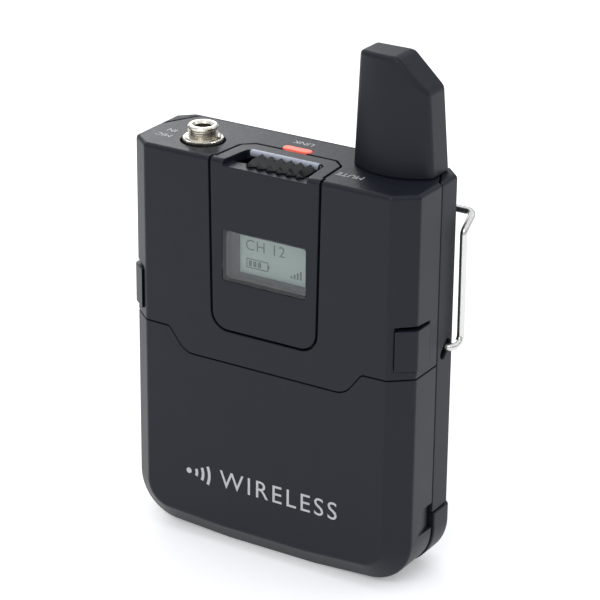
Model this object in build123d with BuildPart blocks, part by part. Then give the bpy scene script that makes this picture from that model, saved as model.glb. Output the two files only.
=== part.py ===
from build123d import *

import math
import os

# Wireless bodypack transmitter, in millimetres.
# Frame: -Y is the front, +X the right-hand side of the front face, +Z up towards the antenna.
# Origin: bottom centre of the whole object. The flat front face lies on the plane Y = FRONT.

# ---------------------------------------------------------------- driving dimensions
WIDTH = 64.0                # case width
TOP = 82.9                  # height of the top face above the bottom
CASE_DEPTH = 20.5           # front face to back face
FACE_HALF = 27.6            # half width of the flat front face, between the bevels
BEVEL_DEPTH = 3.6           # depth of the bevel that frames the front face
SEAM_DEPTH = 11.6           # front face to the joint between front and rear shells
REAR_BEVEL = 2.9            # 45 degree bevel along the back edges
CORNER = 9.5                # outline radius of the two lower corners
FACE_ROUND = 1.2            # soft edge between the front face and its bevel
BEVEL_ROUND = 1.0           # and between the bevel and the sides
TOP_ROUND = 0.9             # and round the top face
WALL = 1.6                  # shell wall
GAP = 0.25                  # visible joint between two shells
TOP_PLATE = 1.8             # thickness of the top face
WIRE = 1.5                  # diameter of the belt clip wire
CLIP_STANDOFF = 25.3        # front face to the centre line of the furthest run of the clip

HALF = WIDTH / 2
CLIP_OUT = CLIP_STANDOFF + WIRE / 2
FRONT = -CLIP_OUT / 2       # the object is centred on Y = 0 from the front face to the clip


def depth(distance):
    """Y of a point that lies this far behind the flat front face."""
    return FRONT + distance


SEAM = depth(SEAM_DEPTH)
BACK = depth(CASE_DEPTH)
SPLIT_MIDDLE = TOP - 42.05  # height of the split between case and battery, at the centre
SPLIT_SIDE = TOP - 37.2     # and at both sides
STEP = TOP - 69.2           # lower end of the rear shell, where the battery's shoe begins

# display panel
PANEL_TOP_HALF = 12.3
PANEL_LOW_HALF = 11.7
PANEL_LOW = TOP - 35.0
PANEL_CORNER = 3.5
PANEL_GAP = 0.5
PANEL_REAR = 11.3           # front face to the panel's rear edge on the top face
WINDOW = (19.0, 10.5)       # display window, width and height
WINDOW_Z = TOP - 19.45      # centre of the window
RECESS_DEPTH = 8.0          # slider recess, front face to its rear wall
RECESS_FLOOR = TOP - 2.6
SHELF = 3.5                 # shallow shelf in front of the recess, front face to its rear edge
SHELF_TOP = TOP - 1.15
RIDGE = 15.8                # length of the rounded ridge behind the slider
SLIDER_TRAVEL = 3.0         # the mute slider's way to the left

# jack
JACK_X = -18.97
JACK_Y = depth(7.75)
JACK_TOP = TOP + 3.3
JACK_BORE_R = 1.8
JACK_R = 3.0                # crest radius of the thread above the nut
JACK_NECK_R = 2.7           # barrel radius inside the nut and the case
NUT_R = 4.1
NUT_TOP = TOP + 1.0
NUT_POCKET_R = 4.45

# antenna blade
ANTENNA_X = 21.1
ANTENNA_TOP = TOP + 23.1

# latch buttons
LATCH_LOW = TOP - 35.3
LATCH_HIGH = TOP - 27.0
LATCH_INNER = 28.9          # the button's edge on the front bevel
LATCH_REAR = 8.0            # front face to the button's rear edge
LATCH_PROUD = 0.35
LATCH_SIDE_GAP = 0.3        # window's clearance beside the button's front edge, where it pivots
LATCH_REAR_GAP = 0.5        # and behind its rear edge, which swings inwards
LATCH_SPRING_Z = LATCH_LOW + 4.2

# boards
BOARD_FRONT = depth(13.1)
BOARD_T = 1.0
BAY_FLOOR = TOP - 40.8      # upper face of the inner frame's floor
CELL_CASE_TOP = SPLIT_MIDDLE - 1.9
PAD_TOP = CELL_CASE_TOP - 0.3
CONTACTS_Y = BOARD_FRONT - 2.62
SCREW_POINTS = [(-26.75, TOP - 5.6), (26.75, TOP - 5.6), (-22.6, TOP - 33.0), (22.6, TOP - 33.0)]

os.makedirs("parts", exist_ok=True)
SIDES = {"left": -1, "right": 1}


def front_plane(y):
    """Sketch plane that faces the front, with x along X and y along Z."""
    return Plane.XZ.offset(-y)


def back_plane(y):
    """Sketch plane that faces the back."""
    return Plane(origin=(0, y, 0), x_dir=(-1, 0, 0), z_dir=(0, 1, 0))


def save(part, name):
    """Label one piece and write it to its own file."""
    part.label = name
    export_step(part, f"parts/{name}.step")


def case_outline(inset):
    """Front view of the case, run on above the top face so that only the lower edges are bevelled."""
    half = HALF - inset
    with BuildSketch(mode=Mode.PRIVATE) as outline:
        with BuildLine():
            Polyline(
                (-half, TOP + 12),
                (-half, 1.3 + inset),
                (-10, inset),
                (10, inset),
                (half, 1.3 + inset),
                (half, TOP + 12),
                close=True,
            )
        make_face()
        corners = outline.vertices().filter_by_position(Axis.Y, 1.0 + inset, 2.0 + inset)
        fillet(corners, CORNER - inset)
    return outline.sketch


def case_block(inset, height):
    """Solid with the outer form of the case, shrunk by inset on every side but the top."""
    bevel = math.degrees(math.atan((HALF - FACE_HALF) / BEVEL_DEPTH))
    bevel_end = depth(BEVEL_DEPTH + inset)
    rear_start = depth(CASE_DEPTH - REAR_BEVEL - inset)
    with BuildPart(mode=Mode.PRIVATE) as block:
        with BuildSketch(front_plane(bevel_end)):
            add(case_outline(inset))
        extrude(amount=BEVEL_DEPTH, taper=bevel)
        with BuildSketch(front_plane(rear_start)):
            add(case_outline(inset))
        extrude(amount=rear_start - bevel_end)
        with BuildSketch(back_plane(rear_start)):
            add(case_outline(inset))
        extrude(amount=REAR_BEVEL, taper=45)
        with Locations((0, 0, height)):
            Box(200, 200, 100, align=(Align.CENTER, Align.CENTER, Align.MIN), mode=Mode.SUBTRACT)
    return block.part


def soft_block(inset):
    """The case's form with soft edges on both sides of the front bevel."""
    with BuildPart(mode=Mode.PRIVATE) as block:
        add(case_block(inset, TOP))
        face_edges = block.faces().sort_by(Axis.Y)[0].edges()
        fillet(face_edges.filter_by_position(Axis.Z, -10, TOP - 0.1), FACE_ROUND)
        bevel_end = depth(BEVEL_DEPTH + inset)
        side_edges = block.edges().filter_by_position(Axis.Y, bevel_end - 0.01, bevel_end + 0.01)
        fillet(side_edges.filter_by_position(Axis.Z, -10, TOP - 0.1), BEVEL_ROUND)
    return block.part


def split_line(drop):
    """The wavy split seen from the front, lowered by drop: level in the middle, S-bends up to the sides."""
    middle = SPLIT_MIDDLE - drop
    side = SPLIT_SIDE - drop
    with BuildSketch(mode=Mode.PRIVATE) as below:
        with BuildLine():
            FilletPolyline(
                (0, middle),
                (18.4, middle),
                (22.1, side),
                (60, side + 0.5),
                radius=[4.2, 1.4],
            )
            FilletPolyline(
                (0, middle),
                (-18.4, middle),
                (-22.1, side),
                (-60, side + 0.5),
                radius=[4.2, 1.4],
            )
            Polyline((-60, side + 0.5), (-60, -30), (60, -30), (60, side + 0.5))
        make_face()
    return below.sketch


def below_split(drop):
    """Everything below the wavy split, as a cutting solid that runs from front to back."""
    with BuildPart(mode=Mode.PRIVATE) as region:
        with BuildSketch(front_plane(depth(CASE_DEPTH + 10))):
            add(split_line(drop))
        extrude(amount=60)
    return region.part


def panel_outline(grow):
    """Front view of the display panel: slightly narrower at the foot, with two rounded corners."""
    with BuildSketch(mode=Mode.PRIVATE) as outline:
        with BuildLine():
            Polyline(
                (-PANEL_TOP_HALF - grow, TOP + 5),
                (-PANEL_LOW_HALF - grow, PANEL_LOW - grow),
                (PANEL_LOW_HALF + grow, PANEL_LOW - grow),
                (PANEL_TOP_HALF + grow, TOP + 5),
                close=True,
            )
        make_face()
        fillet(outline.vertices().group_by(Axis.Y)[0], PANEL_CORNER + grow)
    return outline.sketch


def panel_top_outline(grow):
    """The display panel seen from above: straight sides, then two diagonal rear corners."""
    rear = depth(PANEL_REAR + grow)
    with BuildSketch(mode=Mode.PRIVATE) as outline:
        with BuildLine():
            Polyline(
                (-PANEL_TOP_HALF - grow, FRONT - 5),
                (-PANEL_TOP_HALF - grow + 1.1, depth(9.4)),
                (-8.9 - grow * 0.6, rear),
                (8.9 + grow * 0.6, rear),
                (PANEL_TOP_HALF + grow - 1.1, depth(9.4)),
                (PANEL_TOP_HALF + grow, FRONT - 5),
                close=True,
            )
        make_face()
        fillet(outline.vertices().sort_by(Axis.Y)[2:6], 1.3)
    return outline.sketch


def latch_window(start, length):
    """Cutter for one latch window, extruded along X from start, with the widest gap over the bevel's edge."""
    with BuildPart(mode=Mode.PRIVATE) as cutter:
        with BuildSketch(Plane.YZ.offset(start)):
            with BuildLine():
                Polyline(
                    (FRONT - 5, LATCH_LOW - 0.15),
                    (depth(LATCH_REAR + LATCH_REAR_GAP), LATCH_LOW - 0.15),
                    (depth(LATCH_REAR + LATCH_REAR_GAP), LATCH_HIGH + 0.3),
                    (depth(BEVEL_DEPTH), LATCH_HIGH + 0.75),
                    (FRONT - 5, LATCH_HIGH + 0.3),
                    close=True,
                )
            make_face()
        extrude(amount=length)
    return cutter.part


def top_plate_outline(grow):
    """The front shell's top face seen from above: it runs to the back, with a diagonal at each rear corner."""
    rear = depth(19.6 + grow)
    with BuildSketch(mode=Mode.PRIVATE) as outline:
        with BuildLine():
            Polyline(
                (-31.2 - grow, SEAM - 3),
                (-31.2 - grow, SEAM + grow),
                (-27.3 - grow * 0.6, rear),
                (27.3 + grow * 0.6, rear),
                (31.2 + grow, SEAM + grow),
                (31.2 + grow, SEAM - 3),
                close=True,
            )
        make_face()
        fillet(outline.vertices().sort_by(Axis.Y)[4:6], 1.2)
    return outline.sketch


# ---------------------------------------------------------------- shared forms of the case
CASE_OUTER = soft_block(0)
CASE_INNER = case_block(WALL, TOP - TOP_PLATE)

# The case with its top edges rounded, before it is cut into shells.
with BuildPart() as case_solid:
    add(CASE_OUTER)
    fillet(case_solid.faces().sort_by(Axis.Z)[-1].edges(), TOP_ROUND)

# ---------------------------------------------------------------- front shell
with BuildPart() as front_shell:
    add(case_solid.part)
    add(below_split(0), mode=Mode.SUBTRACT)
    # behind the seam only the top plate remains
    with BuildSketch(Plane.XY.offset(TOP - TOP_PLATE)):
        Rectangle(200, 200)
        add(top_plate_outline(0), mode=Mode.SUBTRACT)
        with Locations((0, SEAM - 50)):
            Rectangle(200, 100, mode=Mode.SUBTRACT)
    extrude(amount=20, mode=Mode.SUBTRACT)
    with BuildSketch(Plane.XY):
        with Locations((0, SEAM + 50)):
            Rectangle(200, 100)
    extrude(amount=TOP - TOP_PLATE, mode=Mode.SUBTRACT)
    add(CASE_INNER, mode=Mode.SUBTRACT)
    # bosses that take the case screws
    with BuildSketch(front_plane(depth(WALL - 0.4))):
        with Locations(*SCREW_POINTS):
            Circle(2.1)
    extrude(amount=-(BOARD_FRONT - depth(WALL - 0.4) - 0.05))
    with BuildSketch(front_plane(BOARD_FRONT)):
        with Locations(*SCREW_POINTS):
            Circle(0.75)
    extrude(amount=7.0, mode=Mode.SUBTRACT)
    # opening for the display panel, in the front wall and in the top plate
    with BuildSketch(front_plane(depth(WALL + 0.2))):
        add(panel_outline(PANEL_GAP))
    extrude(amount=10, mode=Mode.SUBTRACT)
    with BuildSketch(Plane.XY.offset(TOP - TOP_PLATE - 0.2)):
        add(panel_top_outline(PANEL_GAP))
    extrude(amount=10, mode=Mode.SUBTRACT)
    # pocket for the jack nut, and the hole for the barrel
    with BuildSketch(Plane.XY.offset(TOP - 0.95)):
        with Locations((JACK_X, JACK_Y)):
            Circle(NUT_POCKET_R)
    extrude(amount=5, mode=Mode.SUBTRACT)
    with BuildSketch(Plane.XY.offset(TOP - 5)):
        with Locations((JACK_X, JACK_Y)):
            Circle(JACK_NECK_R + 0.05)
    extrude(amount=8, mode=Mode.SUBTRACT)
    # slot for the light lens
    with BuildSketch(Plane.XY.offset(TOP - 5)):
        with Locations((-0.5, depth(12.85))):
            SlotOverall(6.7, 2.2)
    extrude(amount=8, mode=Mode.SUBTRACT)
    # hole for the foot of the antenna
    with BuildSketch(Plane.XY.offset(TOP - 5)):
        with Locations((ANTENNA_X, depth(13.6))):
            Circle(3.05)
    extrude(amount=8, mode=Mode.SUBTRACT)
    # window for each latch button
    add(latch_window(LATCH_INNER - LATCH_SIDE_GAP, 20), mode=Mode.SUBTRACT)
    add(latch_window(LATCH_SIDE_GAP - LATCH_INNER, -20), mode=Mode.SUBTRACT)
save(front_shell.part, "front_shell")

# ---------------------------------------------------------------- rear shell
CLIP_SLOT = (depth(15.0), TOP - 34.9)   # Y and Z of the slot that holds the clip wire
with BuildPart() as rear_shell:
    add(case_solid.part)
    with BuildSketch(Plane.XY.offset(-20)):
        with Locations((0, SEAM + GAP - 50)):
            Rectangle(200, 100)
    extrude(amount=200, mode=Mode.SUBTRACT)
    add(CASE_INNER, mode=Mode.SUBTRACT)
    with BuildSketch(Plane.XY.offset(TOP - TOP_PLATE - GAP)):
        add(top_plate_outline(GAP))
    extrude(amount=20, mode=Mode.SUBTRACT)
    with Locations((0, 0, STEP + GAP)):
        Box(200, 200, 100, align=(Align.CENTER, Align.CENTER, Align.MAX), mode=Mode.SUBTRACT)
    # tubes around the case screws, up to the board
    with BuildSketch(back_plane(BOARD_FRONT + BOARD_T + 0.05)):
        with Locations(*[(-x, z) for x, z in SCREW_POINTS]):
            Circle(2.6)
    extrude(amount=BACK - 0.5 - BOARD_FRONT - BOARD_T - 0.05)
    with BuildSketch(back_plane(BOARD_FRONT)):
        with Locations(*[(-x, z) for x, z in SCREW_POINTS]):
            Circle(1.1)
    extrude(amount=20, mode=Mode.SUBTRACT)
    with BuildSketch(back_plane(BACK - 1.7)):
        with Locations(*[(-x, z) for x, z in SCREW_POINTS]):
            Circle(2.05)
    extrude(amount=10, mode=Mode.SUBTRACT)
    # slanted slots that hold the ends of the clip wire
    with BuildSketch(Plane.YZ.offset(-50)):
        with Locations(CLIP_SLOT):
            SlotOverall(4.4, 2.0, rotation=45)
    extrude(amount=100, mode=Mode.SUBTRACT)
    # shallow bed for the type label
    with BuildSketch(back_plane(BACK - 0.2)):
        with Locations((0, 30)):
            RectangleRounded(38, 22, 1.5)
    extrude(amount=5, mode=Mode.SUBTRACT)
save(rear_shell.part, "rear_shell")

with BuildPart() as type_label:
    with BuildSketch(back_plane(BACK - 0.2)):
        with Locations((0, 30)):
            RectangleRounded(37.6, 21.6, 1.3)
    extrude(amount=0.15)
save(type_label.part, "type_label")

# ---------------------------------------------------------------- case screws, one node
with BuildPart() as case_screws:
    with BuildSketch(back_plane(BOARD_FRONT - 6.0)):
        with Locations(*[(-x, z) for x, z in SCREW_POINTS]):
            Circle(0.75)
    extrude(amount=BACK - 1.65 - BOARD_FRONT + 6.0)
    with BuildSketch(back_plane(BACK - 1.65)):
        with Locations(*[(-x, z) for x, z in SCREW_POINTS]):
            Circle(1.9)
    extrude(amount=1.1)
    with BuildSketch(back_plane(BACK - 1.15)):
        for x, z in SCREW_POINTS:
            with Locations((-x, z)):
                Rectangle(2.2, 0.5)
                Rectangle(0.5, 2.2)
    extrude(amount=2, mode=Mode.SUBTRACT)
save(case_screws.part, "case_screws")

# ---------------------------------------------------------------- display panel
with BuildPart() as panel_form:
    add(CASE_OUTER)
    front_top = panel_form.faces().sort_by(Axis.Z)[-1].edges().sort_by(Axis.Y)[0]
    fillet(front_top, TOP_ROUND)

with BuildPart() as display_panel:
    with BuildSketch(front_plane(depth(TOP_PLATE))):
        add(panel_outline(0))
    extrude(amount=10)
    with BuildSketch(Plane.XY.offset(TOP - TOP_PLATE)):
        add(panel_top_outline(0))
    extrude(amount=10)
    add(panel_form.part, mode=Mode.INTERSECT)
    # flange behind the front wall, which keeps the panel from being pushed out
    with BuildSketch(front_plane(depth(WALL + 0.9))):
        with Locations((0, PANEL_LOW + 15.7)):
            Rectangle(2 * PANEL_TOP_HALF + 3.0, 34.0)
    extrude(amount=0.85)
    # tray that holds the slider, under the top plate
    with BuildSketch(Plane.XY.offset(TOP - 4.2)):
        with Locations((0, depth(WALL + 0.9 + 4.2))):
            Rectangle(21.4, 8.4)
    extrude(amount=4.2 - TOP_PLATE)
    # recess for the slider, a little wider at the front than at the back
    with BuildSketch(Plane.XY.offset(RECESS_FLOOR)):
        with BuildLine():
            Polyline(
                (-9.1, depth(SHELF)),
                (-8.6, depth(RECESS_DEPTH)),
                (8.6, depth(RECESS_DEPTH)),
                (9.1, depth(SHELF)),
                close=True,
            )
        make_face()
        fillet(vertices().sort_by(Axis.Y)[2:], 1.0)
    extrude(amount=10, mode=Mode.SUBTRACT)
    # shelf in front of it, open to the front
    with BuildSketch(Plane.XY.offset(SHELF_TOP)):
        with BuildLine():
            Polyline(
                (-9.6, FRONT - 2),
                (-9.1, depth(SHELF + 0.1)),
                (9.1, depth(SHELF + 0.1)),
                (9.6, FRONT - 2),
                close=True,
            )
        make_face()
    extrude(amount=10, mode=Mode.SUBTRACT)
    # rounded ridge along the rear wall of the recess
    with BuildSketch(Plane.YZ.offset(-RIDGE / 2)):
        with Locations((depth(RECESS_DEPTH - 0.35), TOP - 0.45)):
            RectangleRounded(1.3, 1.3, 0.6)
    extrude(amount=RIDGE)
    # slot in the recess floor for the slider's stem
    with BuildSketch(Plane.XY.offset(TOP - 6)):
        with Locations((-1.1, depth(5.2))):
            Rectangle(7.4, 1.9)
    extrude(amount=5, mode=Mode.SUBTRACT)
    # window, with a ledge for the clear insert
    with BuildSketch(front_plane(depth(10))):
        with Locations((0, WINDOW_Z)):
            RectangleRounded(WINDOW[0] - 1.2, WINDOW[1] - 1.2, 0.5)
    extrude(amount=20, mode=Mode.SUBTRACT)
    with BuildSketch(front_plane(depth(1.25))):
        with Locations((0, WINDOW_Z)):
            RectangleRounded(WINDOW[0], WINDOW[1], 0.4)
    extrude(amount=20, mode=Mode.SUBTRACT)
save(display_panel.part, "display_panel")

with BuildPart() as display_window:
    with BuildSketch(front_plane(depth(1.25))):
        with Locations((0, WINDOW_Z)):
            RectangleRounded(WINDOW[0] - 0.1, WINDOW[1] - 0.1, 0.35)
    extrude(amount=1.15)
save(display_window.part, "display_window")

# ---------------------------------------------------------------- display stack
HOLDER_FRONT = depth(WALL + 0.9)
with BuildPart() as display_holder:
    with BuildSketch(front_plane(HOLDER_FRONT + 0.02)):
        with Locations((0, WINDOW_Z)):
            Rectangle(23.0, 15.0)
    extrude(amount=-(BOARD_FRONT - HOLDER_FRONT - 0.04))
    with BuildSketch(front_plane(depth(5.2))):
        with Locations((0, WINDOW_Z)):
            Rectangle(19.0, 11.4)
    extrude(amount=10, mode=Mode.SUBTRACT)
    with BuildSketch(front_plane(BOARD_FRONT + 1)):
        with Locations((0, WINDOW_Z)):
            Rectangle(17.0, 9.0)
    extrude(amount=10, mode=Mode.SUBTRACT)
save(display_holder.part, "display_holder")

with BuildPart() as display_bezel:
    with BuildSketch(front_plane(depth(3.55))):
        with Locations((0, WINDOW_Z)):
            Rectangle(18.9, 11.3)
            with Locations((0.3, 0)):
                Rectangle(15.4, 8.2, mode=Mode.SUBTRACT)
    extrude(amount=0.5)
save(display_bezel.part, "display_bezel")

with BuildPart() as display_glass:
    with BuildSketch(front_plane(depth(5.15))):
        with Locations((0, WINDOW_Z)):
            Rectangle(18.9, 11.3)
    extrude(amount=1.55)
save(display_glass.part, "display_glass")

with BuildPart() as display_backlight:
    with BuildSketch(front_plane(depth(7.6))):
        with Locations((0, WINDOW_Z)):
            Rectangle(16.9, 8.9)
    extrude(amount=2.35)
save(display_backlight.part, "display_backlight")

# ---------------------------------------------------------------- mute slider, resting at its right-hand end
SLIDER_X = 0.9
RIB_PITCH = 2.15
RIBS = 6
with BuildPart() as mute_slider:
    # plate that runs on the recess floor
    with BuildSketch(Plane.XY.offset(RECESS_FLOOR + 0.05)):
        with Locations((SLIDER_X, depth(5.2))):
            Rectangle(13.0, 2.9)
    extrude(amount=0.75)
    # ribs, highest at the back, rounded off towards the front and hanging over the shelf
    for i in range(RIBS):
        rib_x = SLIDER_X + (i - (RIBS - 1) / 2) * RIB_PITCH
        with BuildSketch(Plane.YZ.offset(rib_x - 0.62)):
            with BuildLine():
                Line((depth(6.45), RECESS_FLOOR + 0.4), (depth(6.45), TOP - 0.15))
                Line((depth(6.45), TOP - 0.15), (depth(3.6), TOP - 0.25))
                ThreePointArc(
                    (depth(3.6), TOP - 0.25),
                    (depth(2.1), TOP - 0.5),
                    (depth(1.3), SHELF_TOP + 0.15),
                )
                Line((depth(1.3), SHELF_TOP + 0.15), (depth(3.75), SHELF_TOP + 0.15))
                Line((depth(3.75), SHELF_TOP + 0.15), (depth(3.75), RECESS_FLOOR + 0.4))
                Line((depth(3.75), RECESS_FLOOR + 0.4), (depth(6.45), RECESS_FLOOR + 0.4))
            make_face()
        extrude(amount=1.24)
    # stem through the slot in the floor, forked over the switch lever
    with BuildSketch(Plane.XY.offset(TOP - 5.4)):
        with Locations((SLIDER_X, depth(5.2))):
            Rectangle(3.0, 1.6)
            Rectangle(1.4, 1.6, mode=Mode.SUBTRACT)
    extrude(amount=1.5)
    with BuildSketch(Plane.XY.offset(TOP - 4.0)):
        with Locations((SLIDER_X, depth(5.2))):
            Rectangle(3.0, 1.6)
    extrude(amount=1.6)
save(mute_slider.part, "mute_slider")

# ---------------------------------------------------------------- slide switch and its board
SWITCH_BOARD = TOP - 9.0
with BuildPart() as switch_board:
    with BuildSketch(Plane.XY.offset(SWITCH_BOARD - 0.8)):
        with Locations((0, (depth(3.0) + BOARD_FRONT - 0.02) / 2)):
            Rectangle(20.0, BOARD_FRONT - 0.02 - depth(3.0))
    extrude(amount=0.8)
save(switch_board.part, "switch_board")

with BuildPart() as mute_switch:
    with BuildSketch(Plane.XY.offset(SWITCH_BOARD)):
        with Locations((SLIDER_X - SLIDER_TRAVEL / 2, depth(5.2))):
            Rectangle(9.0, 3.6)
    extrude(amount=2.8)
    with BuildSketch(Plane.XY.offset(SWITCH_BOARD + 1.2)):
        with Locations((SLIDER_X - SLIDER_TRAVEL / 2, depth(5.2))):
            Rectangle(6.2, 1.5)
    extrude(amount=5, mode=Mode.SUBTRACT)
save(mute_switch.part, "mute_switch")

with BuildPart() as switch_lever:
    with BuildSketch(Plane.XY.offset(SWITCH_BOARD + 1.3)):
        with Locations((SLIDER_X, depth(5.2))):
            Rectangle(1.9, 1.1)
    extrude(amount=1.3)
    with BuildSketch(Plane.XY.offset(SWITCH_BOARD + 2.5)):
        with Locations((SLIDER_X, depth(5.2))):
            Rectangle(1.3, 1.1)
    extrude(amount=2.2)
save(switch_lever.part, "switch_lever")

# ---------------------------------------------------------------- status light
with BuildPart() as light_lens:
    with BuildSketch(Plane.XY.offset(TOP - TOP_PLATE)):
        with Locations((-0.5, depth(12.85))):
            SlotOverall(6.5, 2.0)
    extrude(amount=TOP_PLATE + 0.15)
    fillet(light_lens.faces().sort_by(Axis.Z)[-1].edges(), 0.2)
    with BuildSketch(Plane.XY.offset(TOP - 5.6)):
        with Locations((-0.5, depth(12.25))):
            Rectangle(3.0, 1.4)
    extrude(amount=5.6 - TOP_PLATE + 0.3)
save(light_lens.part, "light_lens")

with BuildPart() as status_light:
    with BuildSketch(Plane.XY.offset(SWITCH_BOARD)):
        with Locations((-0.5, depth(12.1))):
            Rectangle(3.2, 1.8)
    extrude(amount=0.8)
    with BuildSketch(Plane.XY.offset(SWITCH_BOARD + 0.8)):
        with Locations((-0.5, depth(12.1))):
            Circle(0.7)
    extrude(amount=0.9)
save(status_light.part, "status_light")

# ---------------------------------------------------------------- jack
with BuildPart() as jack_barrel:
    with BuildSketch(Plane.XY.offset(TOP - 9.0)):
        with Locations((JACK_X, JACK_Y)):
            Circle(JACK_NECK_R)
    extrude(amount=NUT_TOP - TOP + 9.0 + 0.05)
    with BuildSketch(Plane.XY.offset(NUT_TOP + 0.05)):
        with Locations((JACK_X, JACK_Y)):
            Circle(JACK_R)
    extrude(amount=JACK_TOP - NUT_TOP - 0.05)
    with BuildSketch(Plane.XY.offset(TOP - 9.0)):
        with Locations((JACK_X, JACK_Y)):
            Circle(JACK_BORE_R)
    extrude(amount=40, mode=Mode.SUBTRACT)
    rim = jack_barrel.faces().sort_by(Axis.Z)[-1].edges()
    chamfer(rim, 0.35)
save(jack_barrel.part, "jack_barrel")

with BuildPart() as jack_nut:
    with BuildSketch(Plane.XY.offset(TOP - 0.95)):
        with Locations((JACK_X, JACK_Y)):
            Circle(NUT_R)
            Circle(JACK_NECK_R + 0.03, mode=Mode.SUBTRACT)
    extrude(amount=NUT_TOP - TOP + 0.95)
    with BuildSketch(Plane.XY.offset(TOP + 0.1)):
        with Locations((JACK_X, JACK_Y)):
            Rectangle(2 * NUT_R + 1, 1.3)
    extrude(amount=5, mode=Mode.SUBTRACT)
save(jack_nut.part, "jack_nut")

with BuildPart() as jack_body:
    with BuildSketch(Plane.XY.offset(TOP - 18.0)):
        with Locations((JACK_X, JACK_Y)):
            RectangleRounded(8.6, 9.0, 1.0)
    extrude(amount=18.0 - TOP_PLATE - 0.02)
    with BuildSketch(Plane.XY.offset(TOP - 9.0)):
        with Locations((JACK_X, JACK_Y)):
            Circle(JACK_NECK_R + 0.02)
    extrude(amount=20, mode=Mode.SUBTRACT)
    with BuildSketch(Plane.XY.offset(TOP - 16.6)):
        with Locations((JACK_X, JACK_Y)):
            Circle(JACK_BORE_R)
    extrude(amount=20, mode=Mode.SUBTRACT)
    # side pockets for the contact springs
    for z, side in ((TOP - 16.0, -1), (TOP - 13.2, 1), (TOP - 11.6, -1)):
        with BuildSketch(Plane.XY.offset(z)):
            with Locations((JACK_X + side * 3.4, JACK_Y)):
                Rectangle(2.4, 2.2)
        extrude(amount=1.6, mode=Mode.SUBTRACT)
save(jack_body.part, "jack_body")

with BuildPart() as jack_contacts:
    for z, side in ((TOP - 15.8, -1), (TOP - 13.0, 1), (TOP - 11.4, -1)):
        with BuildSketch(Plane.XY.offset(z)):
            with Locations((JACK_X + side * 3.1, JACK_Y)):
                Rectangle(0.3, 2.0)
            with Locations((JACK_X + side * 4.6, JACK_Y)):
                Rectangle(0.4, 2.0)
            with Locations((JACK_X + side * 3.8, JACK_Y + 0.85)):
                Rectangle(1.7, 0.3)
        extrude(amount=1.2)
save(jack_contacts.part, "jack_contacts")

# ---------------------------------------------------------------- main board and what is on it
with BuildPart() as main_board:
    with BuildSketch(front_plane(BOARD_FRONT + BOARD_T)):
        with Locations((0, (BAY_FLOOR + 0.1 + TOP - 2.4) / 2)):
            RectangleRounded(58.0, TOP - 2.4 - BAY_FLOOR - 0.1, 1.5)
        with Locations(*SCREW_POINTS):
            Circle(1.1, mode=Mode.SUBTRACT)
        with Locations((ANTENNA_X, TOP - 2.4)):
            Rectangle(7.4, 13.0, mode=Mode.SUBTRACT)
        for side in SIDES.values():
            with Locations((side * 29.0, TOP - 34.9)):
                Rectangle(3.4, 9.0, mode=Mode.SUBTRACT)
    extrude(amount=BOARD_T)
save(main_board.part, "main_board")

with BuildPart() as radio_shield:
    with BuildSketch(back_plane(BOARD_FRONT + BOARD_T + 0.02)):
        with Locations((-2.0, TOP - 19.0)):
            RectangleRounded(26.0, 20.0, 0.6)
    extrude(amount=2.4)
    with BuildSketch(back_plane(BOARD_FRONT + BOARD_T - 1)):
        with Locations((-2.0, TOP - 19.0)):
            Rectangle(25.4, 19.4)
    extrude(amount=3.1, mode=Mode.SUBTRACT)
save(radio_shield.part, "radio_shield")

with BuildPart() as antenna_contact:
    with BuildSketch(Plane.YZ.offset(ANTENNA_X - 1.2)):
        with BuildLine():
            Polyline(
                (BOARD_FRONT - 0.02, TOP - 12.0),
                (BOARD_FRONT - 0.32, TOP - 12.0),
                (BOARD_FRONT - 0.32, TOP - 8.8),
                (depth(13.02), TOP - 7.4),
                (depth(13.32), TOP - 7.4),
                (BOARD_FRONT - 0.02, TOP - 8.8),
                close=True,
            )
        make_face()
    extrude(amount=2.4)
save(antenna_contact.part, "antenna_contact")

with BuildPart() as battery_connector:
    with BuildSketch(Plane.XY.offset(BAY_FLOOR + 0.05)):
        with Locations((0, CONTACTS_Y)):
            Rectangle(16.0, 5.2)
    extrude(amount=4.6)
    with BuildSketch(Plane.XY.offset(BAY_FLOOR - 2)):
        with Locations((0, CONTACTS_Y)):
            with GridLocations(3.6, 1, 4, 1):
                Rectangle(1.3, 3.2)
    extrude(amount=5.6, mode=Mode.SUBTRACT)
save(battery_connector.part, "battery_connector")

with BuildPart() as connector_blades:
    with BuildSketch(Plane.XY.offset(PAD_TOP + 0.05)):
        with Locations((0, CONTACTS_Y)):
            with GridLocations(3.6, 1, 4, 1):
                Rectangle(1.1, 2.4)
    extrude(amount=BAY_FLOOR + 3.1 - PAD_TOP)
save(connector_blades.part, "connector_blades")

# ---------------------------------------------------------------- inner frame: floor of the bay and spring seats
with BuildPart() as inner_frame:
    frame_front = depth(WALL + 1.2)
    frame_rear = BACK - WALL - 0.1
    with BuildSketch(Plane.XY.offset(BAY_FLOOR - 1.2)):
        with Locations((0, (frame_front + frame_rear) / 2)):
            Rectangle(51.0, frame_rear - frame_front)
        with Locations((0, CONTACTS_Y)):
            Rectangle(15.0, 4.2, mode=Mode.SUBTRACT)
    extrude(amount=1.2)
    for side in SIDES.values():
        with BuildSketch(Plane.XY.offset(BAY_FLOOR - 0.5)):
            with Locations((side * 26.0, depth(9.0))):
                Rectangle(1.0, 7.6)
        extrude(amount=16.0)
save(inner_frame.part, "inner_frame")

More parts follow.
